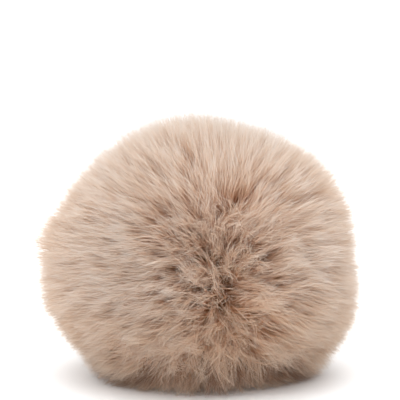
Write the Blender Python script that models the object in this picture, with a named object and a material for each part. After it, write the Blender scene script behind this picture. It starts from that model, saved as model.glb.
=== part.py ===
"""A faux-fur pom pom with a sew-on press stud under its base.

Metres, +Z up. The origin is on the surface that the pom pom stands on, at the middle of the
fur's outline, and the stud's axis is the Z axis. -Y is the side that faces the viewer.

The fur is one solid: a closed cover drawn up into a ball, with its pile combed into locks that
grow out of it. Each lock is shaped along a straight ray from the middle of the ball first, and
then all of space is swayed, hung and pressed onto the surface in one smooth move, so that
neighbouring locks never cross.
"""

import math
import random

import bmesh
import bpy
from mathutils import Matrix, Vector, noise

# The ball: where its middle is, and how far the fur's tips reach from there
MIDDLE = Vector((0.0024, 0.0, 0.0360))
REACH_SIDE = 0.0614
REACH_FRONT = 0.0590
REACH_UP = 0.0625
REACH_DOWN = 0.0518
SHORTEST_LOCK = 0.93  # of that reach, for the shortest locks

# Where the pile stands out or is dented: azimuth turns from +X towards +Y, elevation is up
LUMPS = (
    # azimuth, elevation, height, spread
    (180, 16, 0.0034, 10),  # wisp at the left
    (0, 6, -0.0030, 20),  # flat side at the right
    (0, 44, 0.0031, 24),  # full shoulder, upper right
    (0, 72, -0.0023, 16),  # the crown slopes down to it
    (0, -30, 0.0030, 18),  # full cheek, lower right
    (180, -28, -0.0014, 20),  # tucked in, lower left
    (275, 22, -0.0030, 16),  # parting at the front, upper end
    (282, -8, -0.0035, 14),  # parting at the front, lower end
    (60, 20, 0.0020, 25),  # back, right
    (135, -5, 0.0025, 22),  # back, left
    (95, 45, -0.0025, 20),  # hollow at the back, under the crown
)
TUCK_ELEVATION = -25  # a low waist all round, where the ball turns under
TUCK_HEIGHT = -0.0030
TUCK_SPREAD = 13

# The cover under the pile, and the flat where it is drawn shut
COVER_RADIUS = 0.0325
BASE_HEIGHT = 0.0061
BASE_RADIUS = 0.0128
BASE_SIDES = 14

# The locks
LOCK_POINTS = 154  # spread over the whole ball; each triangle between them grows one lock
LOCK_JITTER = 0.16  # of the distance between points
POINT_GAP = math.radians(13)  # no point nearer than this to the flat's edge
ROOT_GAP = 0.0005  # valley between two roots, along each side
LOCK_SECTIONS = (
    # share of the length, share of the room between neighbours
    (0.32, 0.90),
    (0.66, 0.80),
    (0.88, 0.46),
)
LOCK_TWIST = 0.15  # rad, from root to tip
TIP_WANDER = 0.30  # of a lock's width, sideways at its tip

# How the pile hangs
SWAY = 0.0050
SWAY_SCALE = 38.0  # 1 / m
DROOP = 0.0015
FLOOR_SOFTNESS = 0.0025  # the pile is pressed over about this height
FLOOR_SPREAD = 0.3  # how far it is pushed outwards, of how far it is pressed up
FLOOR_DEPTH = 0.0040  # how far below the surface a lock would end if nothing held it up
RESTING_HEIGHT = 0.0018  # tips that end lower than this lie on the surface

# The fabric patch, the snap's plate and its stud, from the cover downwards
PIECE_GAP = 0.0003
PATCH_RADIUS = 0.0120
PATCH_THICKNESS = 0.0012
PATCH_EDGE = 0.0003
PLATE_RADIUS = 0.0075
PLATE_THICKNESS = 0.0012
RIM_WIDTH = 0.0006
RIM_HEIGHT = 0.0003
COLLAR_RADIUS = 0.0034
COLLAR_HEIGHT = 0.0002
HOLE_COUNT = 4
HOLE_LENGTH = 0.0024  # round the stud
HOLE_WIDTH = 0.0016  # towards the rim
HOLE_CIRCLE = 0.0053
STUD_HEIGHT = 0.0024
STUD_FLANGE_RADIUS = 0.0026
STUD_FLANGE_THICKNESS = 0.0003
STUD_NECK_RADIUS = 0.0017
STUD_HEAD_RADIUS = 0.0022
STUD_HEAD_DEPTH = 0.0012  # from the head's widest part down to its end
HEAD_ARC = (30, 10, -10, -30, -50, -70, -90)  # degrees from level, round the head's side
ROUND_STEPS = 48
SMALL_STEPS = 16

SEED = 7


def clear_scene():
    for obj in list(bpy.data.objects):
        bpy.data.objects.remove(obj, do_unlink=True)


def plain_material(name, colour, roughness, metallic=0.0):
    material = bpy.data.materials.new(name)
    material.use_nodes = True
    shader = material.node_tree.nodes["Principled BSDF"]
    shader.inputs["Base Color"].default_value = (*colour, 1.0)
    shader.inputs["Roughness"].default_value = roughness
    shader.inputs["Metallic"].default_value = metallic
    return material


def object_from(bm, name, material):
    mesh = bpy.data.meshes.new(name)
    bm.to_mesh(mesh)
    bm.free()
    mesh.materials.append(material)
    obj = bpy.data.objects.new(name, mesh)
    bpy.context.scene.collection.objects.link(obj)
    return obj


def direction_of(azimuth, elevation):
    around, up = math.radians(azimuth), math.radians(elevation)
    return Vector((math.cos(up) * math.cos(around), math.cos(up) * math.sin(around), math.sin(up)))


# ---- the fur ----


def reach(direction):
    """How far the fur's tips are from the ball's middle, in that direction."""
    height = REACH_UP if direction.z > 0 else REACH_DOWN
    scaled = Vector((direction.x / REACH_SIDE, direction.y / REACH_FRONT, direction.z / height))
    length = 1 / scaled.length
    for azimuth, elevation, lump, spread in LUMPS:
        off = math.degrees(direction.angle(direction_of(azimuth, elevation)))
        length += lump * math.exp(-((off / spread) ** 2))
    elevation = math.degrees(math.asin(max(-1.0, min(1.0, direction.z))))
    length += TUCK_HEIGHT * math.exp(-(((elevation - TUCK_ELEVATION) / TUCK_SPREAD) ** 2))
    if direction.z < 0:  # shorter underneath, so that the tips reach the surface and no further
        length = min(length, (MIDDLE.z + FLOOR_DEPTH) / -direction.z)
    return length


def cover_points():
    """Points spread over the cover, leaving the flat base free."""
    chance = random.Random(SEED)
    golden = math.pi * (3 - math.sqrt(5))
    spacing = math.sqrt(4 * math.pi / LOCK_POINTS)
    edge_angle = math.atan2(BASE_RADIUS, MIDDLE.z - BASE_HEIGHT)
    found = []
    for i in range(LOCK_POINTS):
        z = 1 - 2 * (i + 0.5) / LOCK_POINTS
        ring = math.sqrt(1 - z * z)
        point = Vector((ring * math.cos(i * golden), ring * math.sin(i * golden), z))
        nudge = Vector([chance.uniform(-1, 1) for _ in range(3)]) * spacing * LOCK_JITTER
        point = (point + nudge).normalized()
        if point.angle(Vector((0, 0, -1))) > edge_angle + POINT_GAP:
            found.append(MIDDLE + point * COVER_RADIUS)
    return found


def base_points():
    """The corners of the flat base, which is centred on the fastening and not on the ball."""
    turns = [2 * math.pi * i / BASE_SIDES for i in range(BASE_SIDES)]
    return [Vector((BASE_RADIUS * math.cos(t), BASE_RADIUS * math.sin(t), BASE_HEIGHT)) for t in turns]


def tight_cover(points):
    """The triangles of a tight cover over the points, as point numbers in a settled order."""
    bm = bmesh.new()
    number = {bm.verts.new(point): i for i, point in enumerate(points)}
    bmesh.ops.convex_hull(bm, input=list(bm.verts))
    bmesh.ops.recalc_face_normals(bm, faces=list(bm.faces))
    triangles = []
    for face in bm.faces:
        corners = [number[vert] for vert in face.verts]
        start = corners.index(min(corners))
        triangles.append(tuple(corners[start:] + corners[:start]))
    bm.free()
    return sorted(triangles)


def swayed(point):
    """The one smooth move that combs, hangs and presses the whole pile."""
    arm = point - MIDDLE
    out = max(0.0, arm.length - COVER_RADIUS) / (REACH_SIDE - COVER_RADIUS)
    level = math.hypot(arm.x, arm.y) / max(arm.length, 1e-9)
    moved = point + noise.noise_vector(point * SWAY_SCALE) * SWAY * out
    moved.z -= DROOP * level * out * out
    pressed = FLOOR_SOFTNESS * math.log1p(math.exp(moved.z / FLOOR_SOFTNESS)) - moved.z
    outwards = Vector((moved.x, moved.y, 0.0)).normalized()
    return moved + outwards * FLOOR_SPREAD * pressed + Vector((0, 0, pressed))


def grow_lock(bm, face, chance):
    """Draws one face of the cover out into a tapering lock, section by section."""
    centre = face.calc_center_median()
    direction = (centre - MIDDLE).normalized()
    root = (centre - MIDDLE).length
    corners = [vert.co - centre for vert in face.verts]
    length = reach(direction) * chance.uniform(SHORTEST_LOCK, 1.0) - root
    turn = Matrix.Rotation(chance.uniform(-LOCK_TWIST, LOCK_TWIST), 3, direction)
    for share, fullness in LOCK_SECTIONS:
        face = bmesh.ops.extrude_discrete_faces(bm, faces=[face])["faces"][0]
        middle = MIDDLE + direction * (root + share * length)
        widening = (root + share * length) / root
        for vert, corner in zip(face.verts, corners):
            spun = corner.lerp(turn @ corner, share)
            vert.co = middle + spun * widening * fullness
    width = corners[0].length
    wander = Vector([chance.uniform(-1, 1) for _ in range(3)]) * TIP_WANDER * width
    tip = bmesh.ops.poke(bm, faces=[face])["verts"][0]
    tip.co = MIDDLE + direction * (root + length) + wander
    return tip


def make_fur(material):
    spread, base = cover_points(), base_points()
    bm = bmesh.new()
    verts = [bm.verts.new(point) for point in spread + base]
    base_verts = verts[len(spread) :]
    bm.faces.new(reversed(base_verts))
    triangles = tight_cover(spread + base)
    lock_corners = [corners for corners in triangles if min(corners) < len(spread)]
    locks = [bm.faces.new([verts[i] for i in corners]) for corners in lock_corners]
    bm.normal_update()
    bmesh.ops.inset_individual(bm, faces=locks, thickness=ROOT_GAP, use_even_offset=True)
    cover_verts = set(bm.verts)
    chance = random.Random(SEED + 1)
    tips = [grow_lock(bm, face, chance) for face in locks]
    for vert in bm.verts:
        if vert not in cover_verts:
            vert.co = swayed(vert.co)
    for tip in tips:
        if tip.co.z < RESTING_HEIGHT:
            tip.co.z = 0.0
    bmesh.ops.triangulate(bm, faces=list(bm.faces))
    fur = object_from(bm, "fur", material)
    fur.data.shade_smooth()
    fur.data.set_sharp_from_angle(angle=math.radians(60))


# ---- the fastening under the base ----


def turned(name, outline, steps, material):
    """A solid turned about the Z axis. The outline runs from the axis at the top, outwards and
    down, and back to the axis: (radius, height) pairs."""
    bm = bmesh.new()
    verts = [bm.verts.new((radius, 0.0, height)) for radius, height in outline]
    edges = [bm.edges.new(pair) for pair in zip(verts, verts[1:])]
    bmesh.ops.spin(
        bm,
        geom=verts + edges,
        cent=(0, 0, 0),
        axis=(0, 0, 1),
        angle=2 * math.pi,
        steps=steps,
        use_merge=True,
    )
    bmesh.ops.remove_doubles(bm, verts=list(bm.verts), dist=1e-6)
    bmesh.ops.recalc_face_normals(bm, faces=list(bm.faces))
    made = object_from(bm, name, material)
    made.data.shade_smooth()
    made.data.set_sharp_from_angle(angle=math.radians(35))
    return made


def make_patch(top, material):
    """The round of backing fabric that closes the base, with a softened edge."""
    low = top - PATCH_THICKNESS
    outline = (
        (0.0, top),
        (PATCH_RADIUS - PATCH_EDGE, top),
        (PATCH_RADIUS, top - PATCH_EDGE),
        (PATCH_RADIUS, low + PATCH_EDGE),
        (PATCH_RADIUS - PATCH_EDGE, low),
        (0.0, low),
    )
    return turned("base_patch", outline, ROUND_STEPS, material)


def make_plate(top, material):
    """The snap's black plate: a rolled rim, a collar round the stud and four oval sewing holes."""
    face = top - PLATE_THICKNESS
    outline = (
        (0.0, top),
        (PLATE_RADIUS - RIM_HEIGHT, top),
        (PLATE_RADIUS, top - RIM_HEIGHT),
        (PLATE_RADIUS, face),
        (PLATE_RADIUS - RIM_WIDTH / 3, face - RIM_HEIGHT),
        (PLATE_RADIUS - RIM_WIDTH * 2 / 3, face - RIM_HEIGHT),
        (PLATE_RADIUS - RIM_WIDTH, face),
        (COLLAR_RADIUS, face),
        (COLLAR_RADIUS - COLLAR_HEIGHT, face - COLLAR_HEIGHT),
        (0.0, face - COLLAR_HEIGHT),
    )
    plate = turned("snap_plate", outline, ROUND_STEPS, material)
    for i in range(HOLE_COUNT):
        turn = 2 * math.pi * i / HOLE_COUNT
        bpy.ops.mesh.primitive_cylinder_add(
            vertices=SMALL_STEPS,
            radius=1.0,
            depth=1.0,
            location=(HOLE_CIRCLE * math.cos(turn), HOLE_CIRCLE * math.sin(turn), face),
            rotation=(0, 0, turn),
            scale=(HOLE_WIDTH / 2, HOLE_LENGTH / 2, 4 * PLATE_THICKNESS),
        )
        cutter = bpy.context.object
        cutter.name = f"hole_cutter_{i}"
        cutter.hide_render = True
        cutter.display_type = "WIRE"
        cut = plate.modifiers.new(f"sewing_hole_{i}", "BOOLEAN")
        cut.operation = "DIFFERENCE"
        cut.object = cutter
    return plate


def make_stud(top, material):
    """The brass stud: a flange, a waisted neck and a round head that clicks into a socket."""
    flange_low = top - STUD_FLANGE_THICKNESS
    widest = top - STUD_HEIGHT + STUD_HEAD_DEPTH
    outline = [
        (0.0, top),
        (STUD_FLANGE_RADIUS, top),
        (STUD_FLANGE_RADIUS, flange_low),
        (STUD_NECK_RADIUS, flange_low - STUD_FLANGE_THICKNESS / 2),
    ]
    for degrees in HEAD_ARC:
        turn = math.radians(degrees)
        outline.append((STUD_HEAD_RADIUS * math.cos(turn), widest + STUD_HEAD_DEPTH * math.sin(turn)))
    return turned("snap_stud", outline, 2 * SMALL_STEPS, material)


def main():
    clear_scene()
    noise.seed_set(SEED)
    fur_finish = plain_material("fur_pile", (0.52, 0.37, 0.29), 0.9)
    patch_finish = plain_material("backing_cloth", (0.62, 0.57, 0.46), 0.95)
    plate_finish = plain_material("black_enamel", (0.012, 0.011, 0.010), 0.25, 0.3)
    stud_finish = plain_material("brass", (0.60, 0.55, 0.27), 0.22, 1.0)

    make_fur(fur_finish)
    patch_top = BASE_HEIGHT - PIECE_GAP
    plate_top = patch_top - PATCH_THICKNESS - PIECE_GAP
    stud_top = plate_top - PLATE_THICKNESS - COLLAR_HEIGHT - PIECE_GAP
    make_patch(patch_top, patch_finish)
    make_plate(plate_top, plate_finish)
    make_stud(stud_top, stud_finish)


main()
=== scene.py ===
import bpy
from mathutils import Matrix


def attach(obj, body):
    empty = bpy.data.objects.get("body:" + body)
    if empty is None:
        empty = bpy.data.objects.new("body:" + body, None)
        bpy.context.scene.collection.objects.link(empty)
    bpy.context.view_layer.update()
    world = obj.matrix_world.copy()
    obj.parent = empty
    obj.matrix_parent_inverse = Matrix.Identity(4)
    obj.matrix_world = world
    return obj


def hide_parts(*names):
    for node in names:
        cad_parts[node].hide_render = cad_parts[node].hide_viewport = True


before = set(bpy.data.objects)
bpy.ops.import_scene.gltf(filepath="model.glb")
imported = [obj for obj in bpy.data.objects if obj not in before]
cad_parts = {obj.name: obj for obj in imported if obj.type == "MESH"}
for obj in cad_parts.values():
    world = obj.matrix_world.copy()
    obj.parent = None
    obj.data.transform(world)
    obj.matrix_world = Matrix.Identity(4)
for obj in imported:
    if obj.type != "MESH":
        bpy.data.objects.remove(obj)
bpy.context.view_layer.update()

import math
import bpy
import numpy as np
from mathutils import Vector, kdtree

scene = bpy.context.scene
print("frame loaded:", sorted(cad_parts))


def directionOf(azimuth, elevation):
    around, up = math.radians(azimuth), math.radians(elevation)
    return np.array((math.cos(up) * math.cos(around), math.cos(up) * math.sin(around), math.sin(up)))


def unit(vectors):
    return vectors / np.maximum(np.linalg.norm(vectors, axis=-1, keepdims=True), 1e-9)


def deselectAll():
    for obj in list(bpy.context.selected_objects):
        obj.select_set(False)


def finishPiece(obj, name, material, replaced=None):
    # names and paints a piece, puts its origin at the frame's, and ties it to the CAD body
    obj.name = obj.data.name = name
    obj.data.materials.clear()
    obj.data.materials.append(material)
    deselectAll()
    obj.select_set(True)
    bpy.context.view_layer.objects.active = obj
    bpy.ops.object.transform_apply(location=True, rotation=True, scale=True)
    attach(obj, "root")
    if replaced:
        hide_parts(replaced)


# the photo's frame: 400 pixels across, 0.374 mm each where the pom pom stands
view = {
    "pixel": 0.000374,
    "frame": 400,
    "elevation": 9.0,
    "distance": 0.80,
    "lookAt": (0.0017, 0.0, 0.0664),
    "sensor": 0.036,  # metres, of which Blender wants millimetres
}


def addCamera():
    data = bpy.data.cameras.new("camera")
    data.sensor_width = view["sensor"] * 1000
    data.lens = view["sensor"] * 1000 * view["distance"] / (view["pixel"] * view["frame"])
    data.clip_start = 0.01
    data.clip_end = 20
    camera = bpy.data.objects.new("camera", data)
    scene.collection.objects.link(camera)
    back = Vector(directionOf(270, view["elevation"])) * view["distance"]
    camera.location = Vector(view["lookAt"]) + back
    camera.rotation_euler = (-back).to_track_quat("-Z", "Y").to_euler()
    scene.camera = camera


studio = {
    "backdrop": 1.17,
    "floorTint": (0.87, 0.87, 0.875),
    "floorRadius": 0.70,
    "aim": (0, 0, 0.05),  # where the lamps point
    "lamps": (
        # name, place, size, power, colour
        ("topSoftbox", (-0.02, 0.05, 0.80), 1.60, 10.2, (1.0, 1.0, 0.99)),
        ("frontFill", (-0.45, -0.65, 0.40), 0.60, 1.5, (1.0, 0.99, 0.98)),
    ),
}


def addStudio():
    world = bpy.data.worlds.new("studio")
    scene.world = world
    world.use_nodes = True
    background = world.node_tree.nodes["Background"]
    background.inputs["Color"].default_value = (1.0, 1.0, 1.0, 1.0)
    background.inputs["Strength"].default_value = studio["backdrop"]
    scene.view_settings.view_transform = "Standard"

    material = bpy.data.materials.new("floorPaint")
    material.use_nodes = True
    shader = material.node_tree.nodes["Principled BSDF"]
    shader.inputs["Base Color"].default_value = (*studio["floorTint"], 1.0)
    shader.inputs["Roughness"].default_value = 0.9
    shader.inputs["Specular IOR Level"].default_value = 0.1
    deselectAll()
    bpy.ops.mesh.primitive_circle_add(vertices=96, radius=studio["floorRadius"], fill_type="NGON")
    floor = bpy.context.object
    floor.name = "floor"
    floor.data.materials.append(material)

    for name, place, size, power, colour in studio["lamps"]:
        data = bpy.data.lights.new(name, "AREA")
        data.shape = "DISK"
        data.size = size
        data.energy = power
        data.color = colour
        lamp = bpy.data.objects.new(name, data)
        scene.collection.objects.link(lamp)
        lamp.location = place
        aim = Vector(studio["aim"]) - Vector(place)
        lamp.rotation_euler = aim.to_track_quat("-Z", "Y").to_euler()


addCamera()
addStudio()
print("camera and studio placed")

# the ball has the solids' reach, lumps and droop, with a crisper hem and a few small dents added
ball = {
    "middle": (0.0024, 0.0, 0.0360),
    "reachSide": 0.0614,
    "reachFront": 0.0590,
    "reachUp": 0.0625,
    "reachDown": 0.0518,
    "tuck": (-25, -0.0030, 13),  # a low waist all round: elevation, height, spread
    "coverRadius": 0.0325,
    "flatHeight": 0.0061,
    "flatRadius": 0.0120,
    "droop": 0.0015,
    "floorSoftness": 0.0014,
    "floorSpread": 0.3,
    "floorDepth": 0.0030,
    "proudFade": 1.1,  # the tips stand less proud underneath: how fast, and their least share
    "proudLeast": 0.3,
    "lumps": (
        # azimuth, elevation, height, spread
        (180, 16, 0.0034, 10),  # wisp at the left
        (180, 15, 0.0030, 5),  # and its longest hairs
        (0, 6, -0.0030, 20),  # flat side at the right
        (0, 44, 0.0031, 24),  # full shoulder, upper right
        (0, 72, -0.0023, 16),  # the crown slopes down to it
        (0, -30, 0.0030, 18),  # full cheek, lower right
        (180, -28, -0.0014, 20),  # tucked in, lower left
        (275, 22, -0.0030, 16),  # parting at the front, upper end
        (282, -8, -0.0035, 14),  # parting at the front, lower end
        (60, 20, 0.0020, 25),  # back, right
        (135, -5, 0.0025, 22),  # back, left
        (95, 45, -0.0025, 20),  # hollow at the back, under the crown
        (281, -4, -0.0035, 8),  # the parting's deepest place
        (313, -38, -0.0040, 9),  # notch under the cheek, lower right
        (236, -36, -0.0030, 8),  # notch, lower left
    ),
}
middle = np.array(ball["middle"])


def angleTo(directions, azimuth, elevation):
    return np.degrees(np.arccos(np.clip(directions @ directionOf(azimuth, elevation), -1, 1)))


def reachAt(directions, proud):
    height = np.where(directions[:, 2] > 0, ball["reachUp"], ball["reachDown"])
    flat = directions[:, :2] / np.array((ball["reachSide"], ball["reachFront"]))
    length = 1 / np.sqrt((flat ** 2).sum(1) + (directions[:, 2] / height) ** 2)
    length += proud * np.clip(1 + ball["proudFade"] * directions[:, 2], ball["proudLeast"], 1)
    for azimuth, elevation, lump, spread in ball["lumps"]:
        length += lump * np.exp(-((angleTo(directions, azimuth, elevation) / spread) ** 2))
    elevation, tuck, spread = ball["tuck"]
    above = np.degrees(np.arcsin(np.clip(directions[:, 2], -1, 1)))
    length += tuck * np.exp(-(((above - elevation) / spread) ** 2))
    toFloor = (middle[2] + ball["floorDepth"]) / -np.minimum(directions[:, 2], -1e-6)
    return np.where(directions[:, 2] < 0, np.minimum(length, toFloor), length)


def settle(points):
    # hangs the pile a little and presses it onto the floor, which bends it outwards
    arm = points - middle
    length = np.linalg.norm(arm, axis=1)
    out = np.clip((length - ball["coverRadius"]) / (ball["reachSide"] - ball["coverRadius"]), 0, None)
    level = np.hypot(arm[:, 0], arm[:, 1]) / np.maximum(length, 1e-9)
    moved = points.copy()
    moved[:, 2] -= ball["droop"] * level * out ** 2
    soft = ball["floorSoftness"]
    pressed = soft * np.log1p(np.exp(moved[:, 2] / soft)) - moved[:, 2]
    moved += unit(moved * (1, 1, 0)) * (ball["floorSpread"] * pressed)[:, None]
    moved[:, 2] += pressed
    return moved


# the pile: fine strands in wisps, the wisps in loose tufts, grown out of the cover
pile = {
    "seed": 19,
    "tufts": 900,
    "tuftJitter": 0.35,
    "wisps": 20000,
    "wispJitter": 0.5,
    "strands": 9,  # in each wisp
    "pieces": 5,  # slices of the ball, each its own mesh
    "proud": 0.0030,  # the longest tips stand this far beyond the solid locks
    "tuftPull": 0.07,
    "tuftLean": 0.020,
    "tuftFall": 0.45,  # how unevenly the tufts follow a parting's push, where they are tangled
    "tuftShort": 0.012,
    "wispLean": 0.026,
    "wispShort": 0.030,
    "flow": 0.03,  # the pile's slow wandering lean
    "flowWaves": 2.5,
    "strandSplay": 0.015,
    "splayShares": (0.75, 0.25),  # of it: everywhere, and by how loose the pile is
    "strandShort": 0.12,
    "curl": 0.05,
    "ownCurl": 0.35,  # a strand's own share of it, beside its wisp's
    "bow": 0.5,  # how far the curl carries a strand out at its middle
    "bend": 1.5,  # above 1, a strand keeps its root's direction for longer
    "rootSpread": 0.02,
    "rootDepth": 0.0003,  # roots start this far inside the cover
    "width": 0.00024,
    "widthRange": (0.7, 1.2),  # times the width, from strand to strand
    "tintShares": (0.6, 0.4),  # of a wisp's tint: its own and its tuft's
    "tintRange": (0.55, 0.45),  # the darkest wisp's tint, and how far the palest is above it
    "through": 0.53,  # share of the light that passes through a strand
    "stops": (0.0, 0.52, 0.80, 1.0),
    "widths": (1.0, 0.95, 0.60, 0.0),
    "partings": (
        # from and to (azimuth, elevation), push, spread: where tips lean apart and roots show
        ((287, 36), (282, -8), 0.17, 42),  # the long one down the front
        ((281, -4), (289, -10), 0.14, 10),  # its darkest place
        ((277, 9), (281, 6), 0.05, 6),
        ((287, 9), (296, 5), 0.10, 7),
        ((275, 25), (277, 21), 0.05, 6),
        ((283, 22), (289, 20), 0.06, 6),
        ((254, 31), (260, 26), 0.05, 6),
        ((234, -22), (284, -24), 0.08, 7),  # low across the front
        ((288, -15), (292, -26), 0.08, 6),
        ((243, -26), (251, -33), 0.08, 7),
        ((300, -29), (322, -27), 0.10, 9),
        ((88, 34), (80, -6), 0.17, 38),  # and its like down the back
        ((78, 8), (72, 0), 0.07, 8),
        ((20, 55), (40, 50), 0.05, 8),
        ((168, -8), (172, -16), 0.05, 8),
    ),
    "tangle": (
        # from, to, times more lean and curl, spread: where wisps lie across each other
        ((287, 33), (284, -7), 1.3, 18),
        ((236, -22), (310, -25), 1.8, 12),
        ((88, 30), (82, 0), 0.7, 16),
    ),
    "rings": (
        # elevation, times more, spread: all round, the hem is ragged and the crown is smooth
        (-34, 1.0, 9),
        (80, -0.45, 34),
    ),
    "rootToTip": (
        # place along the strand, colour
        (0.0, (0.46, 0.240, 0.130)),
        (0.45, (0.76, 0.505, 0.330)),
        (0.68, (0.80, 0.640, 0.506)),
        (0.81, (0.80, 0.698, 0.604)),
        (0.91, (0.80, 0.746, 0.686)),
        (1.0, (0.80, 0.784, 0.762)),
    ),
    "tints": (
        # place, colour: the painted contact shadow where it stands, the browner tone with painted shade,
        # and from there to the palest wisps
        (0.0, (0.28, 0.15, 0.115)),
        (0.35, (0.90, 0.785, 0.680)),
        (0.60, (0.94, 0.875, 0.825)),
        (0.80, (0.96, 0.93, 0.92)),
        (1.0, (1.0, 1.0, 1.0)),
    ),
    "browningAndPaintedShade": (
        # from, to, how much, spread: where the pile is painted browner and darker, partly a browner tone
        # and partly painted shade
        ((276, 26), (280, -8), 0.29, 20),
        ((286, 10), (312, -12), 0.10, 16),
        ((88, 28), (82, 0), 0.30, 15),
        ((0, 28), (352, -12), 0.26, 22),
        ((180, 28), (188, -12), 0.26, 22),
    ),
    "under": (
        # height of the tip's direction, how much darker: painted shade underneath, most at the ring that
        # it stands on as a painted contact shadow
        (-0.74, 0.28),
        (-0.67, 0.86),
        (-0.63, 0.90),
        (-0.58, 0.35),
        (-0.15, 0.24),
        (0.15, 0.0),
    ),
}


def spreadDirections(count, jitter, rng):
    i = np.arange(count)
    z = 1 - 2 * (i + 0.5) / count
    ring = np.sqrt(1 - z ** 2)
    turn = i * math.pi * (3 - math.sqrt(5))
    directions = np.stack([ring * np.cos(turn), ring * np.sin(turn), z], axis=1)
    spacing = math.sqrt(4 * math.pi / count)
    return unit(directions + rng.uniform(-1, 1, (count, 3)) * spacing * jitter)


def nearest(directions, centres):
    tree = kdtree.KDTree(len(centres))
    for i, centre in enumerate(centres):
        tree.insert(centre, i)
    tree.balance()
    return np.array([tree.find(direction)[1] for direction in directions])


def sideways(directions, vectors):
    return vectors - directions * (vectors * directions).sum(1, keepdims=True)


def drift(directions, waves, rng):
    # a smooth wandering lean, made of a few crossing waves
    crossing = 7
    lean = np.zeros_like(directions)
    for _ in range(crossing):
        wave = unit(rng.normal(size=3)) * waves * rng.uniform(0.6, 1.5)
        phase = rng.uniform(0, 2 * math.pi)
        lean += np.sin(directions @ wave + phase)[:, None] * unit(rng.normal(size=3))
    return sideways(directions, lean) / math.sqrt(crossing)


def fromLine(directions, start, end):
    # the nearest place on a line across the ball, and how many degrees away it is
    start, end = directionOf(*start), directionOf(*end)
    run = end - start
    along = np.clip((directions - start) @ run / (run @ run), 0, 1)
    place = unit(start + along[:, None] * run)
    return place, np.degrees(np.arccos(np.clip((directions * place).sum(1), -1, 1)))


def partingLean(directions):
    fullPush = 2.3  # makes a push the most that a tip leans, a little way off the line
    lean = np.zeros_like(directions)
    for start, end, push, spread in pile["partings"]:
        place, degrees = fromLine(directions, start, end)
        away = unit(sideways(directions, directions - place))
        off = degrees / spread
        lean += away * (push * fullPush * off * np.exp(-(off ** 2)))[:, None]
    return lean


def alongLines(directions, lines):
    # the sum of what each line gives, less the further from it
    total = np.zeros(len(directions))
    for start, end, amount, spread in lines:
        degrees = fromLine(directions, start, end)[1]
        total += amount * np.exp(-((degrees / spread) ** 2))
    return total


def inRings(directions):
    above = np.degrees(np.arcsin(np.clip(directions[:, 2], -1, 1)))
    return sum(more * np.exp(-(((above - at) / spread) ** 2)) for at, more, spread in pile["rings"])


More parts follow.
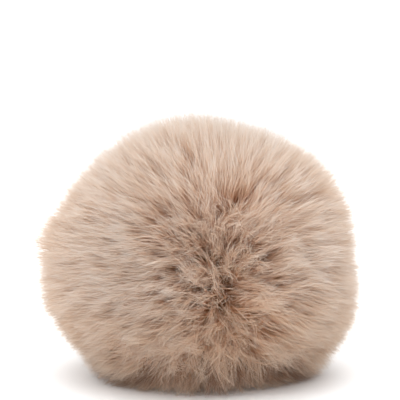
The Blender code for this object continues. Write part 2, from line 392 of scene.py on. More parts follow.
def growPile():
    rng = np.random.default_rng(pile["seed"])
    tuftDirs = spreadDirections(pile["tufts"], pile["tuftJitter"], rng)
    tuftLean = sideways(tuftDirs, rng.normal(size=tuftDirs.shape)) * pile["tuftLean"]
    # the powers leave most tufts, wisps and strands near their full length
    tuftShort = rng.uniform(0, 1, len(tuftDirs)) ** 1.5 * pile["tuftShort"]
    tuftTint = rng.uniform(0, 1, len(tuftDirs))

    wispDirs = spreadDirections(pile["wisps"], pile["wispJitter"], rng)
    roots = middle + wispDirs * ball["coverRadius"]
    wispDirs = wispDirs[(wispDirs[:, 2] > 0) | (np.hypot(roots[:, 0], roots[:, 1]) > ball["flatRadius"])]
    tangle = 1 + alongLines(wispDirs, pile["tangle"])
    looseness = tangle + inRings(wispDirs)
    tuft = nearest(wispDirs, tuftDirs)
    lean = sideways(wispDirs, rng.normal(size=wispDirs.shape)) * pile["wispLean"] + tuftLean[tuft]
    lean *= looseness[:, None]
    lean += (tuftDirs[tuft] - wispDirs) * (pile["tuftPull"] * tangle ** 2)[:, None]
    fall = 1 + rng.uniform(-1, 1, len(tuftDirs))[tuft] * pile["tuftFall"] * (tangle - 1)
    lean += partingLean(wispDirs) * fall[:, None]
    flow = drift(wispDirs, pile["flowWaves"], rng) * pile["flow"]
    tipDirs = unit(wispDirs + lean + flow)
    short = (tuftShort[tuft] + rng.uniform(0, 1, len(wispDirs)) ** 2 * pile["wispShort"]) * looseness
    wispReach = reachAt(tipDirs, pile["proud"]) * (1 - short)
    # painted shade: tips pointing down get darker tints, darker towards the bottom and most at the ring
    # where it stands, a painted contact shadow
    under = np.interp(tipDirs[:, 2], *zip(*pile["under"]))
    ownShare, tuftShare = pile["tintShares"]
    darkest, toPalest = pile["tintRange"]
    wispTint = rng.uniform(0, 1, len(wispDirs)) * ownShare + tuftTint[tuft] * tuftShare
    wispTint = darkest + toPalest * wispTint
    # these lines paint the pile browner and darker, partly a browner tone and partly painted shade
    wispTint = wispTint * (1 - under) * (1 - alongLines(tipDirs, pile["browningAndPaintedShade"]))
    wispCurl = sideways(wispDirs, rng.normal(size=wispDirs.shape)) * pile["curl"] * looseness[:, None]

    rep = np.repeat(np.arange(len(wispDirs)), pile["strands"])
    count = len(rep)
    rootDirs = unit(wispDirs[rep] + rng.normal(size=(count, 3)) * pile["rootSpread"])
    everywhere, byLooseness = pile["splayShares"]
    splay = pile["strandSplay"] * (everywhere + byLooseness * looseness[rep][:, None])
    ends = unit(tipDirs[rep] + rng.normal(size=(count, 3)) * splay)
    length = wispReach[rep] * (1 - rng.uniform(0, 1, count) ** 1.5 * pile["strandShort"])
    ownCurl = sideways(ends, rng.normal(size=(count, 3))) * pile["curl"] * pile["ownCurl"]
    curl = wispCurl[rep] + ownCurl
    root = ball["coverRadius"] - pile["rootDepth"]

    rows = []
    for stop in pile["stops"]:
        turn = stop ** pile["bend"]
        bow = curl * math.sin(math.pi * stop) * pile["bow"]
        heading = rootDirs * (1 - turn) + ends * turn + bow
        radius = root + stop * (length - root)
        rows.append(settle(middle + unit(heading) * radius[:, None]))
    rows[0][:, 2] = np.maximum(rows[0][:, 2], ball["flatHeight"] + pile["rootDepth"])
    path = np.stack(rows, axis=1)  # strand, stop, xyz
    across = unit(np.cross(path[:, -1] - path[:, 0], rng.normal(size=(count, 3))))
    uneven = rng.uniform(*pile["widthRange"], (count, 1))
    half = np.array(pile["widths"]) * pile["width"] / 2 * uneven
    left = path + across[:, None, :] * half[:, :, None]
    right = path - across[:, None, :] * half[:, :, None]
    return left, right, path[:, -1], wispTint[rep]


# a strand's place in its UV map: a sliver at its tint across it, and root to tip along it
strandMap = {
    "sliver": 0.005,
    "tintSpan": 0.99,
    "rootAt": 0.002,
    "length": 0.996,
}


def strandMesh(name, places, left, right, tip, tint, material):
    # one joined mesh of flat tapering strands, each ending in a point
    stops = len(places)
    count = len(tip)
    perStrand = 2 * (stops - 1) + 1
    points = np.empty((count, perStrand, 3), np.float32)
    points[:, 0:-1:2] = left[:, :-1]
    points[:, 1:-1:2] = right[:, :-1]
    points[:, -1] = tip
    quads = [(2 * s, 2 * s + 1, 2 * s + 3, 2 * s + 2) for s in range(stops - 2)]
    last = (2 * (stops - 2), 2 * (stops - 2) + 1, perStrand - 1)
    pattern = np.array([i for quad in quads for i in quad] + list(last))
    loops = (np.arange(count)[:, None] * perStrand + pattern[None, :]).ravel()
    sizes = np.tile([4] * len(quads) + [3], count)
    starts = np.concatenate([[0], np.cumsum(sizes)[:-1]])
    mesh = bpy.data.meshes.new(name)
    mesh.vertices.add(count * perStrand)
    mesh.vertices.foreach_set("co", points.ravel())
    mesh.loops.add(len(loops))
    mesh.loops.foreach_set("vertex_index", loops.astype(np.int32))
    mesh.polygons.add(len(starts))
    mesh.polygons.foreach_set("loop_start", starts.astype(np.int32))
    mesh.update(calc_edges=True)
    across = np.array([i % 2 for i in range(perStrand - 1)] + [0.5]) * strandMap["sliver"]
    along = np.array([places[i // 2] for i in range(perStrand - 1)] + [1.0])
    u = (tint[:, None] * strandMap["tintSpan"] + across[None, :])[:, pattern]
    v = strandMap["rootAt"] + strandMap["length"] * along
    v = np.broadcast_to(v[pattern], u.shape)
    layer = mesh.uv_layers.new(name="OFBake")
    layer.data.foreach_set("uv", np.stack([u, v], axis=2).astype(np.float32).ravel())
    mesh.shade_smooth()
    mesh.materials.append(material)
    obj = bpy.data.objects.new(name, mesh)
    scene.collection.objects.link(obj)
    return obj


def addRamp(nodes, stops):
    ramp = nodes.new("ShaderNodeValToRGB")
    elements = ramp.color_ramp.elements
    elements[0].position, elements[0].color = stops[0][0], (*stops[0][1], 1)
    elements[1].position, elements[1].color = stops[-1][0], (*stops[-1][1], 1)
    for position, colour in stops[1:-1]:
        elements.new(position).color = (*colour, 1)
    return ramp


def strandMaterial(name, rootToTip, tints, through):
    # colour along each strand times its tint, which for the pile also carries painted shade, with some of
    # the light let through
    material = bpy.data.materials.new(name)
    material.use_nodes = True
    nodes, links = material.node_tree.nodes, material.node_tree.links
    shader = nodes["Principled BSDF"]
    shader.inputs["Roughness"].default_value = 0.6
    shader.inputs["Specular IOR Level"].default_value = 0.12
    uv = nodes.new("ShaderNodeUVMap")
    uv.uv_map = "OFBake"
    split = nodes.new("ShaderNodeSeparateXYZ")
    alongRamp = addRamp(nodes, rootToTip)
    tintRamp = addRamp(nodes, tints)
    colour = nodes.new("ShaderNodeMix")
    colour.data_type = "RGBA"
    colour.blend_type = "MULTIPLY"
    colour.inputs["Factor"].default_value = 1.0
    glow = nodes.new("ShaderNodeBsdfTranslucent")
    blend = nodes.new("ShaderNodeMixShader")
    blend.inputs["Fac"].default_value = through
    links.new(uv.outputs["UV"], split.inputs[0])
    links.new(split.outputs["Y"], alongRamp.inputs["Fac"])
    links.new(split.outputs["X"], tintRamp.inputs["Fac"])
    links.new(alongRamp.outputs["Color"], colour.inputs["A"])
    links.new(tintRamp.outputs["Color"], colour.inputs["B"])
    links.new(colour.outputs["Result"], shader.inputs["Base Color"])
    links.new(colour.outputs["Result"], glow.inputs["Color"])
    links.new(shader.outputs["BSDF"], blend.inputs[1])
    links.new(glow.outputs["BSDF"], blend.inputs[2])
    links.new(blend.outputs["Shader"], nodes["Material Output"].inputs["Surface"])
    return material


def makePile():
    left, right, tip, tint = growPile()
    material = strandMaterial("acrylicPile", pile["rootToTip"], pile["tints"], pile["through"])
    around = np.arctan2(tip[:, 1] - middle[1], tip[:, 0] - middle[0])
    order = np.argsort(around, kind="stable")
    for i, part in enumerate(np.array_split(order, pile["pieces"])):
        name = f"pile_{i + 1}"
        piece = strandMesh(name, pile["stops"], left[part], right[part], tip[part], tint[part], material)
        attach(piece, "root")
        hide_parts("fur")
    print("pile grown:", len(tip), "strands")


makePile()

cover = {
    "seed": 5,
    "segments": 72,
    "rings": 40,
    "rumple": 0.0006,
    "rumpleWaves": 14.0,
    "colour": (0.42, 0.25, 0.145),
    "fibreColour": (0.58, 0.39, 0.26),
    "fill": 0.8,
}


def plushMaterial():
    # the fabric's short underfur, seen at the partings and round the fastening
    material = bpy.data.materials.new("underfur")
    material.use_nodes = True
    nodes, links = material.node_tree.nodes, material.node_tree.links
    shader = nodes["Principled BSDF"]
    shader.inputs["Roughness"].default_value = 0.95
    shader.inputs["Specular IOR Level"].default_value = 0.2
    shader.inputs["Sheen Weight"].default_value = 0.4
    place = nodes.new("ShaderNodeTexCoord")
    fibres = nodes.new("ShaderNodeTexNoise")
    fibres.inputs["Scale"].default_value = 900
    fibres.inputs["Detail"].default_value = 4
    colour = addRamp(nodes, ((0.35, cover["colour"]), (0.7, cover["fibreColour"])))
    bump = nodes.new("ShaderNodeBump")
    bump.inputs["Strength"].default_value = 0.8
    bump.inputs["Distance"].default_value = 0.0006
    links.new(place.outputs["Object"], fibres.inputs["Vector"])
    links.new(fibres.outputs["Fac"], colour.inputs["Fac"])
    links.new(fibres.outputs["Fac"], bump.inputs["Height"])
    links.new(colour.outputs["Color"], shader.inputs["Base Color"])
    links.new(bump.outputs["Normal"], shader.inputs["Normal"])
    return material


def makeCover():
    # a stuffed ball, drawn flat where it is closed, round the fastening and not the ball's middle
    deselectAll()
    bpy.ops.mesh.primitive_uv_sphere_add(
        segments=cover["segments"], ring_count=cover["rings"], radius=ball["coverRadius"], location=middle
    )
    obj = bpy.context.object
    bpy.ops.object.transform_apply(location=True)
    rng = np.random.default_rng(cover["seed"])
    points = np.array([vert.co for vert in obj.data.vertices])
    outwards = unit(points - middle)
    points += outwards * drift(outwards, cover["rumpleWaves"], rng)[:, :1] * cover["rumple"]
    low = np.clip((2 * ball["flatHeight"] - points[:, 2]) / ball["flatHeight"], 0, 1)
    points[:, 0] -= middle[0] * low
    points[:, 2] = np.maximum(points[:, 2], ball["flatHeight"])
    obj.data.vertices.foreach_set("co", points.ravel())
    bpy.ops.object.shade_smooth()
    finishPiece(obj, "furCover", plushMaterial(), "fur")
    print("cover made")


makeCover()


def drawOut(outline, sides):
    # a disc whose face is extruded and resized to each radius and height in turn, then closed
    deselectAll()
    radius, height = outline[0]
    bpy.ops.mesh.primitive_circle_add(
        vertices=sides, radius=radius, fill_type="NGON", location=(0, 0, height)
    )
    bpy.ops.object.mode_set(mode="EDIT")
    for newRadius, newHeight in outline[1:]:
        bpy.ops.mesh.extrude_region_move(
            TRANSFORM_OT_translate={"value": (0, 0, newHeight - height)}
        )
        shrink = newRadius / radius
        bpy.ops.transform.resize(value=(shrink, shrink, 1), center_override=(0, 0, newHeight))
        radius, height = newRadius, newHeight
    bpy.ops.mesh.select_all(action="SELECT")
    bpy.ops.mesh.normals_make_consistent(inside=False)
    bpy.ops.object.mode_set(mode="OBJECT")
    return bpy.context.object


def applyModifiers(obj):
    deselectAll()
    obj.select_set(True)
    bpy.context.view_layer.objects.active = obj
    for modifier in list(obj.modifiers):
        bpy.ops.object.modifier_apply(modifier=modifier.name)


def holeTurns():
    return [2 * math.pi * i / plate["holes"] for i in range(plate["holes"])]


# the fastening lies under the ball, in the same layers as the solids: patch, plate, stud
patch = {
    "top": 0.0058,
    "radius": 0.0119,
    "thickness": 0.0010,
    "rings": 10,
    "sides": 72,
    "waver": 0.00018,  # how uneven its cut edge is
    "waves": ((5, 1.0, 1), (11, 0.6, 0), (23, 0.4, 2)),  # how many round the edge, size, start
    "curl": 0.00035,  # its edge turns up towards the ball
    "curlShares": (0.6, 0.2),  # of it: all round, and with the waves
    "softEdge": 0.00022,
    "stitchPull": 0.00025,  # drawn in round each sewing hole
    "stitchWidth": 0.0016,
    "khaki": (0.42, 0.375, 0.26),
    "cream": (0.66, 0.62, 0.50),
    "fleck": (0.26, 0.215, 0.16),
    "knitPitch": 0.00055,
}


def patchMaterial():
    material = bpy.data.materials.new("backingKnit")
    material.use_nodes = True
    nodes, links = material.node_tree.nodes, material.node_tree.links
    shader = nodes["Principled BSDF"]
    shader.inputs["Roughness"].default_value = 0.95
    shader.inputs["Specular IOR Level"].default_value = 0.2
    shader.inputs["Sheen Weight"].default_value = 0.3
    place = nodes.new("ShaderNodeTexCoord")
    patches = nodes.new("ShaderNodeTexNoise")
    patches.inputs["Scale"].default_value = 260
    patches.inputs["Detail"].default_value = 3
    base = addRamp(nodes, ((0.40, patch["khaki"]), (0.58, patch["cream"])))
    specks = nodes.new("ShaderNodeTexNoise")
    specks.inputs["Scale"].default_value = 2100
    specks.inputs["Detail"].default_value = 4
    where = addRamp(nodes, ((0.54, (0, 0, 0)), (0.64, (1, 1, 1))))
    colour = nodes.new("ShaderNodeMix")
    colour.data_type = "RGBA"
    colour.inputs["B"].default_value = (*patch["fleck"], 1)
    knit = nodes.new("ShaderNodeTexWave")
    knit.bands_direction = "X"
    ownPace = 20  # radians a unit, in a wave texture at scale 1
    knit.inputs["Scale"].default_value = 1 / patch["knitPitch"] / ownPace * 2 * math.pi
    knit.inputs["Distortion"].default_value = 2.5
    knit.inputs["Detail Scale"].default_value = 2.0
    relief = nodes.new("ShaderNodeMath")
    relief.operation = "ADD"
    bump = nodes.new("ShaderNodeBump")
    bump.inputs["Strength"].default_value = 0.4
    bump.inputs["Distance"].default_value = 0.00020
    for texture in (patches, specks, knit):
        links.new(place.outputs["Object"], texture.inputs["Vector"])
    links.new(patches.outputs["Fac"], base.inputs["Fac"])
    links.new(specks.outputs["Fac"], where.inputs["Fac"])
    links.new(where.outputs["Color"], colour.inputs["Factor"])
    links.new(base.outputs["Color"], colour.inputs["A"])
    links.new(colour.outputs["Result"], shader.inputs["Base Color"])
    links.new(knit.outputs["Fac"], relief.inputs[0])
    links.new(specks.outputs["Fac"], relief.inputs[1])
    links.new(relief.outputs["Value"], bump.inputs["Height"])
    links.new(bump.outputs["Normal"], shader.inputs["Normal"])
    return material


def makePatch():
    # a round of cloth: ringed, made uneven, drawn in at the stitches and given its thickness
    deselectAll()
    level = patch["top"] - patch["thickness"] / 2
    allRound, withWaves = patch["curlShares"]
    bpy.ops.mesh.primitive_circle_add(
        vertices=patch["sides"], radius=patch["radius"], fill_type="NGON", location=(0, 0, level)
    )
    obj = bpy.context.object
    bpy.ops.object.transform_apply(location=True)
    bpy.ops.object.mode_set(mode="EDIT")
    for _ in range(patch["rings"]):
        bpy.ops.mesh.inset(thickness=patch["radius"] / (patch["rings"] + 1))
    bpy.ops.mesh.poke()
    bpy.ops.object.mode_set(mode="OBJECT")
    for vert in obj.data.vertices:
        out = math.hypot(vert.co.x, vert.co.y) / patch["radius"]
        turn = math.atan2(vert.co.y, vert.co.x)
        waver = sum(size * math.sin(many * turn + start) for many, size, start in patch["waves"])
        edge = out ** 6  # next to nothing but near the cut edge
        drawnIn = 1 - abs(waver) * patch["waver"] / patch["radius"] * edge
        vert.co.x *= drawnIn
        vert.co.y *= drawnIn
        vert.co.z += edge * patch["curl"] * (allRound + withWaves * waver)
        for hole in holeTurns():
            dx = vert.co.x - plate["holeCircle"] * math.cos(hole)
            dy = vert.co.y - plate["holeCircle"] * math.sin(hole)
            near = math.exp(-(dx * dx + dy * dy) / patch["stitchWidth"] ** 2)
            vert.co.z += patch["stitchPull"] * near
    solid = obj.modifiers.new("thickness", "SOLIDIFY")
    solid.thickness = patch["thickness"]
    solid.offset = 0
    rounded = obj.modifiers.new("softEdge", "BEVEL")
    rounded.width = patch["softEdge"]
    rounded.segments = 2
    rounded.limit_method = "ANGLE"
    applyModifiers(obj)
    bpy.ops.object.shade_smooth()
    finishPiece(obj, "backingPatch", patchMaterial(), "base_patch")


plate = {
    "sides": 96,
    "outline": (
        # radius, height: from the back's edge down over the rolled rim and in to the collar
        (0.00720, 0.00430),
        (0.00745, 0.00415),
        (0.00750, 0.00330),
        (0.00742, 0.00295),
        (0.00722, 0.00281),
        (0.00700, 0.00281),
        (0.00682, 0.00293),
        (0.00674, 0.00318),
        (0.00640, 0.00322),
        (0.00560, 0.00330),
        (0.00450, 0.00338),
        (0.00370, 0.00340),
        (0.00345, 0.00332),
        (0.00325, 0.00300),
        (0.00305, 0.00291),
        (0.00260, 0.00291),
    ),
    "holes": 4,
    "holeCircle": 0.0053,
    "holeHalf": (0.00078, 0.00120),  # towards the rim, round the stud
    "holeSides": 40,
    "cutterMiddle": 0.0036,
    "cutterHeight": 0.004,
    "softEdge": 0.00007,
    "enamel": (0.012, 0.011, 0.010),
    "rimBrassAndHighlight": (0.52, 0.48, 0.32),
    "rimFrom": 0.00699,
    "rimTo": 0.00724,
    "rimWander": 0.00030,  # how unevenly the bare brass ring wanders: rubbed-through enamel with its painted highlight
    "rimFade": 0.00006,
}


def plateMaterial():
    # black enamel over brass, with a ring of bare brass on the rolled rim: rubbed-through enamel, and a
    # painted highlight where the rim's edge catches the light
    material = bpy.data.materials.new("rubbedEnamelAndRimHighlight")
    material.use_nodes = True
    nodes, links = material.node_tree.nodes, material.node_tree.links
    shader = nodes["Principled BSDF"]
    shader.inputs["Specular IOR Level"].default_value = 0.22
    shader.inputs["Coat Weight"].default_value = 0.12
    shader.inputs["Coat Roughness"].default_value = 0.08
    place = nodes.new("ShaderNodeTexCoord")
    split = nodes.new("ShaderNodeSeparateXYZ")
    flat = nodes.new("ShaderNodeCombineXYZ")
    out = nodes.new("ShaderNodeVectorMath")
    out.operation = "LENGTH"
    wear = nodes.new("ShaderNodeTexNoise")
    wear.inputs["Scale"].default_value = 1400
    wear.inputs["Detail"].default_value = 4
    wander = nodes.new("ShaderNodeMath")
    wander.operation = "MULTIPLY_ADD"
    wander.inputs[1].default_value = plate["rimWander"]
    rimMiddle = (plate["rimFrom"] + plate["rimTo"]) / 2
    rimHalf = (plate["rimTo"] - plate["rimFrom"]) / 2
    offRim = nodes.new("ShaderNodeMath")
    offRim.operation = "SUBTRACT"
    offRim.inputs[1].default_value = rimMiddle + plate["rimWander"] / 2
    size = nodes.new("ShaderNodeMath")
    size.operation = "ABSOLUTE"
    # the ring of bare brass on the rim: worn enamel, and a painted highlight of the rim's edge
    rubbedAndLitRing = nodes.new("ShaderNodeMapRange")
    rubbedAndLitRing.interpolation_type = "SMOOTHSTEP"
    rubbedAndLitRing.inputs["From Min"].default_value = rimHalf + plate["rimFade"]
    rubbedAndLitRing.inputs["From Max"].default_value = rimHalf - plate["rimFade"]
    colour = nodes.new("ShaderNodeMix")
    colour.data_type = "RGBA"
    colour.inputs["A"].default_value = (*plate["enamel"], 1)
    colour.inputs["B"].default_value = (*plate["rimBrassAndHighlight"], 1)
    gloss = nodes.new("ShaderNodeMapRange")
    gloss.inputs["To Min"].default_value = 0.16
    gloss.inputs["To Max"].default_value = 0.34
    links.new(place.outputs["Object"], split.inputs[0])
    links.new(split.outputs["X"], flat.inputs["X"])
    links.new(split.outputs["Y"], flat.inputs["Y"])
    links.new(flat.outputs["Vector"], out.inputs[0])
    links.new(place.outputs["Object"], wear.inputs["Vector"])
    links.new(wear.outputs["Fac"], wander.inputs[0])
    links.new(out.outputs["Value"], wander.inputs[2])
    links.new(wander.outputs["Value"], offRim.inputs[0])
    links.new(offRim.outputs["Value"], size.inputs[0])
    links.new(size.outputs["Value"], rubbedAndLitRing.inputs["Value"])
    links.new(rubbedAndLitRing.outputs["Result"], colour.inputs["Factor"])
    links.new(rubbedAndLitRing.outputs["Result"], shader.inputs["Metallic"])
    links.new(colour.outputs["Result"], shader.inputs["Base Color"])
    links.new(wear.outputs["Fac"], gloss.inputs["Value"])
    links.new(gloss.outputs["Result"], shader.inputs["Roughness"])
    return material


def makePlate():
    obj = drawOut(plate["outline"], plate["sides"])
    cutters = []
    for turn in holeTurns():
        x, y = plate["holeCircle"] * math.cos(turn), plate["holeCircle"] * math.sin(turn)
        bpy.ops.mesh.primitive_cylinder_add(
            vertices=plate["holeSides"],
            radius=1,
            depth=1,
            location=(x, y, plate["cutterMiddle"]),
            rotation=(0, 0, turn),
            scale=(*plate["holeHalf"], plate["cutterHeight"]),
        )
        cutters.append(bpy.context.object)
    for i, cutter in enumerate(cutters):
        cut = obj.modifiers.new(f"sewingHole{i + 1}", "BOOLEAN")
        cut.operation = "DIFFERENCE"
        cut.object = cutter
    applyModifiers(obj)
    for cutter in cutters:
        bpy.data.objects.remove(cutter, do_unlink=True)
    edges = obj.modifiers.new("softEdges", "BEVEL")
    edges.width = plate["softEdge"]
    edges.segments = 2
    edges.limit_method = "ANGLE"
    edges.angle_limit = math.radians(50)
    applyModifiers(obj)
    bpy.ops.object.shade_smooth_by_angle(angle=math.radians(35))
    finishPiece(obj, "studPlate", plateMaterial(), "snap_plate")


stud = {
    "sides": 64,
    "outline": (
        # radius, height: flange, waist, then the round head
        (0.00258, 0.00291),
        (0.00262, 0.00272),
        (0.00262, 0.00240),
        (0.00250, 0.00230),
        (0.00190, 0.00224),
        (0.00172, 0.00212),
        (0.00176, 0.00200),
        (0.00200, 0.00182),
        (0.00216, 0.00160),
        (0.00220, 0.00140),
        (0.00216, 0.00115),
        (0.00203, 0.00088),
        (0.00180, 0.00062),
        (0.00148, 0.00042),
        (0.00108, 0.00029),
        (0.00064, 0.00022),
        (0.00020, 0.00020),
    ),
    "brass": (0.54, 0.50, 0.21),
    "tarnish": (0.30, 0.29, 0.09),
    "lacquerFrom": (0.00205, 0.00222),  # heights between which its brass turns to the plate's black
}


def studMaterial():
    material = bpy.data.materials.new("polishedBrass")
    material.use_nodes = True
    nodes, links = material.node_tree.nodes, material.node_tree.links
    shader = nodes["Principled BSDF"]
    place = nodes.new("ShaderNodeTexCoord")
    split = nodes.new("ShaderNodeSeparateXYZ")
    bare = nodes.new("ShaderNodeMapRange")
    bare.inputs["From Min"].default_value = stud["lacquerFrom"][1]
    bare.inputs["From Max"].default_value = stud["lacquerFrom"][0]
    painted = nodes.new("ShaderNodeMix")
    painted.data_type = "RGBA"
    painted.inputs["A"].default_value = (*plate["enamel"], 1)
    cloudy = nodes.new("ShaderNodeTexNoise")
    cloudy.inputs["Scale"].default_value = 900
    cloudy.inputs["Detail"].default_value = 5
    colour = addRamp(nodes, ((0.38, stud["brass"]), (0.68, stud["tarnish"])))
    gloss = nodes.new("ShaderNodeMapRange")
    gloss.inputs["To Min"].default_value = 0.14
    gloss.inputs["To Max"].default_value = 0.36
    links.new(place.outputs["Object"], cloudy.inputs["Vector"])
    links.new(cloudy.outputs["Fac"], colour.inputs["Fac"])
    links.new(cloudy.outputs["Fac"], gloss.inputs["Value"])
    links.new(place.outputs["Object"], split.inputs[0])
    links.new(split.outputs["Z"], bare.inputs["Value"])
    links.new(bare.outputs["Result"], painted.inputs["Factor"])
    links.new(bare.outputs["Result"], shader.inputs["Metallic"])
    links.new(colour.outputs["Color"], painted.inputs["B"])
    links.new(painted.outputs["Result"], shader.inputs["Base Color"])
    links.new(gloss.outputs["Result"], shader.inputs["Roughness"])
    return material


def makeStud():
    obj = drawOut(stud["outline"], stud["sides"])
    bpy.ops.object.shade_smooth_by_angle(angle=math.radians(40))
    finishPiece(obj, "ballStud", studMaterial(), "snap_stud")


thread = {
    "seed": 3,
    "radius": 0.00019,
    "radiusRange": (0.75, 1.1),
    "arch": 0.00056,  # how far it spans, from the middle of a hole
    "asideLess": 0.28,  # how much less a stitch spans that lies this far aside
    "asideAt": 0.0009,
    "perHole": 4,
    "spacing": 0.00036,
    "height": 0.00345,
    "unevenHeight": 0.00012,
    "tilt": 0.25,
    "slant": 0.6,
    "colour": (0.78, 0.78, 0.77),
    "furrowShade": 0.72,  # painted shade in the twist's furrows
}


def threadMaterial():
    material = bpy.data.materials.new("sewingThread")
    material.use_nodes = True
    nodes, links = material.node_tree.nodes, material.node_tree.links
    shader = nodes["Principled BSDF"]
    shader.inputs["Roughness"].default_value = 0.7
    shader.inputs["Sheen Weight"].default_value = 0.3
    place = nodes.new("ShaderNodeTexCoord")
    twist = nodes.new("ShaderNodeTexNoise")
    twist.inputs["Scale"].default_value = 6000
    # the twist's furrows, where the bump is low, are painted darker as shade
    furrowShadeColour = tuple(thread["furrowShade"] * part for part in thread["colour"])
    colour = addRamp(nodes, ((0.35, furrowShadeColour), (0.6, thread["colour"])))
    bump = nodes.new("ShaderNodeBump")
    bump.inputs["Strength"].default_value = 0.6
    bump.inputs["Distance"].default_value = 0.00005
    links.new(place.outputs["Object"], twist.inputs["Vector"])
    links.new(twist.outputs["Fac"], colour.inputs["Fac"])
    links.new(twist.outputs["Fac"], bump.inputs["Height"])
    links.new(colour.outputs["Color"], shader.inputs["Base Color"])
    links.new(bump.outputs["Normal"], shader.inputs["Normal"])
    return material


def makeThread():
    # stitches that arch through each hole, side by side
    rng = np.random.default_rng(thread["seed"])
    stitches = []
    for turn in holeTurns():
        for i in range(thread["perHole"]):
            aside = (i - (thread["perHole"] - 1) / 2) * thread["spacing"]
            span = 1 - thread["asideLess"] * abs(aside) / thread["asideAt"]
            x = plate["holeCircle"] * math.cos(turn) - aside * math.sin(turn)
            y = plate["holeCircle"] * math.sin(turn) + aside * math.cos(turn)
            deselectAll()
            bpy.ops.mesh.primitive_torus_add(
                major_radius=thread["arch"] * span,
                minor_radius=thread["radius"] * rng.uniform(*thread["radiusRange"]),
                major_segments=28,
                minor_segments=10,
                location=(x, y, thread["height"] + rng.uniform(-1, 1) * thread["unevenHeight"]),
                rotation=(
                    math.pi / 2,
                    rng.uniform(-1, 1) * thread["tilt"],
                    turn + rng.uniform(-1, 1) * thread["slant"],
                ),
            )
            stitches.append(bpy.context.object)
    deselectAll()
    for stitch in stitches:
        stitch.select_set(True)
    bpy.context.view_layer.objects.active = stitches[0]
    bpy.ops.object.join()
    bpy.ops.object.shade_smooth()
    finishPiece(bpy.context.object, "stitches", threadMaterial())


def flatFibres(name, places, path, width, tint, material):
    # ribbons that lie on the underside with their faces down
    run = np.gradient(path, axis=1) * (1, 1, 0)
    across = unit(np.cross(run, (0.0, 0.0, 1.0)))
    half = width / 2 * (1 - np.array(places)[:, None] ** 3)
    obj = strandMesh(name, places, path + across * half, path - across * half, path[:, -1], tint, material)
    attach(obj, "root")


nap = {
    "seed": 7,
    "fibres": 3600,
    "ring": (0.0071, 0.0119),  # the patch's part beyond the plate
    "length": (0.0004, 0.0012),
    "spread": 1.3,  # radians to either side of straight out
    "tuft": (95, 17),  # a lock of pinker, longer, straighter pile caught here: azimuth, spread
    "tuftSpread": 0.2,  # times the spread
    "tuftLength": 2.2,  # times the length
    "tuftTint": 0.70,  # its tints lie above this
    "plainTint": 0.62,  # and the other fibres' below this
    "height": 0.00485,
    "lift": 0.00045,
    "liftRange": (0.3, 1),
    "liftAlong": (0.8, 1.0),  # at the stops after the root
    "width": 0.00006,
    "through": 0.2,
    "stops": (0.0, 0.55, 1.0),
    "rootToTip": ((0.0, (0.62, 0.60, 0.56)), (1.0, (1.0, 1.0, 1.0))),
    "tints": (
        # place, colour: dark flecks, khaki and cream, then the tuft's browns
        (0.0, (0.17, 0.145, 0.11)),
        (0.22, (0.40, 0.355, 0.25)),
        (0.60, (0.70, 0.66, 0.55)),
        (0.70, (0.40, 0.27, 0.21)),
        (1.0, (0.64, 0.49, 0.42)),
    ),
}


def makeNap():
    # the patch's short nap: flecked fibres every way, and one lock of the pile caught among them
    rng = np.random.default_rng(nap["seed"])
    count = nap["fibres"]
    turn = rng.uniform(0, 2 * math.pi, count)
    out = np.sqrt(rng.uniform(nap["ring"][0] ** 2, nap["ring"][1] ** 2, count))
    azimuth, spread = nap["tuft"]
    inTuft = rng.uniform(0, 1, count) < np.exp(-(((np.degrees(turn) - azimuth) / spread) ** 4))
    straighter = np.where(inTuft, nap["tuftSpread"], 1)
    heading = turn + rng.uniform(-1, 1, count) * nap["spread"] * straighter
    length = rng.uniform(*nap["length"], count) * np.where(inTuft, nap["tuftLength"], 1)
    tuftTint = rng.uniform(nap["tuftTint"], 1, count)
    plainTint = rng.uniform(0, 1, count) ** 0.8 * nap["plainTint"]
    tint = np.where(inTuft, tuftTint, plainTint)
    forward = np.stack([np.cos(heading), np.sin(heading), 0 * heading], axis=1)
    root = np.stack([out * np.cos(turn), out * np.sin(turn), np.full(count, nap["height"])], axis=1)
    rise = rng.uniform(*nap["liftRange"], count) * nap["lift"]
    path = np.stack([root + forward * (length * stop)[:, None] for stop in nap["stops"]], axis=1)
    path[:, 1:, 2] -= rise[:, None] * nap["liftAlong"]
    material = strandMaterial("backingNap", nap["rootToTip"], nap["tints"], nap["through"])
    flatFibres("backingNap", nap["stops"], path, nap["width"], tint, material)


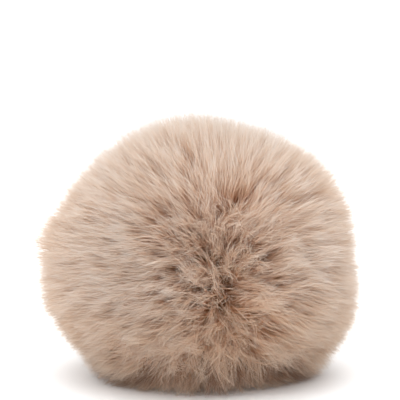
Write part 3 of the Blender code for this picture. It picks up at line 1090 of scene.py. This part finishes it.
loose = {
    "seed": 21,
    "width": 0.00009,
    "stops": 15,
    "height": 0.00292,
    "beyondRim": (0.0064, 0.00262),  # further out than the first, a fibre is at the second height
    "slope": 0.0006,  # it gets there over this distance
    "wave": 0.00006,
    "waves": (8, 16),  # radians of it along a fibre
    "darkest": 0.5,
    "through": 0.5,
    "fibres": (
        # places on the underside in millimetres, from root to tip
        ((0.4, 2.7), (-0.7, 3.7), (-2.0, 4.2), (-3.3, 3.9), (-3.6, 3.3), (-3.1, 2.7), (-2.0, 2.6)),
        ((-2.3, 4.3), (-0.4, 4.2), (1.6, 4.1), (2.9, 4.5), (3.5, 5.4), (2.5, 6.3), (1.7, 6.7)),
        ((2.6, 2.3), (4.4, 2.2), (5.2, 1.2), (5.4, 0.0), (5.3, -1.1)),
        ((5.7, 0.9), (5.4, 2.7), (4.9, 3.9), (4.4, 5.3), (3.4, 6.2), (2.2, 6.6)),
        ((5.4, -0.4), (6.0, -1.7), (6.6, -3.2), (7.6, -4.4)),
        ((3.4, 6.9), (4.5, 7.7), (5.6, 9.0), (6.4, 9.5)),
        ((-6.9, -2.9), (-5.7, -3.4), (-4.3, -3.2), (-3.3, -3.6)),
    ),
    "rootToTip": ((0.0, (0.70, 0.64, 0.56)), (1.0, (0.84, 0.82, 0.78))),
}


def makeLooseFibres():
    # a few fine curled fibres that have strayed over the plate
    rng = np.random.default_rng(loose["seed"])
    places = np.linspace(0, 1, loose["stops"])
    paths = []
    for fibre in loose["fibres"]:
        knots = np.array(fibre) / 1000
        at = np.linspace(0, 1, len(knots))
        x, y = np.interp(places, at, knots[:, 0]), np.interp(places, at, knots[:, 1])
        for line in (x, y):
            line[1:-1] = (line[:-2] + 2 * line[1:-1] + line[2:]) / 4
            line += loose["wave"] * np.sin(places * rng.uniform(*loose["waves"]) + rng.uniform(0, 6))
        beyond, lower = loose["beyondRim"]
        overRim = (beyond - loose["slope"], beyond)
        z = np.interp(np.hypot(x, y), overRim, (loose["height"], lower))
        paths.append(np.stack([x, y, z], axis=1))
    tint = rng.uniform(loose["darkest"], 1, len(paths))
    material = strandMaterial("looseFibre", loose["rootToTip"], pile["tints"], loose["through"])
    flatFibres("looseFibres", list(places), np.stack(paths), loose["width"], tint, material)


makePatch()
makeNap()
makePlate()
makeStud()
makeThread()
makeLooseFibres()
print("fastening made")
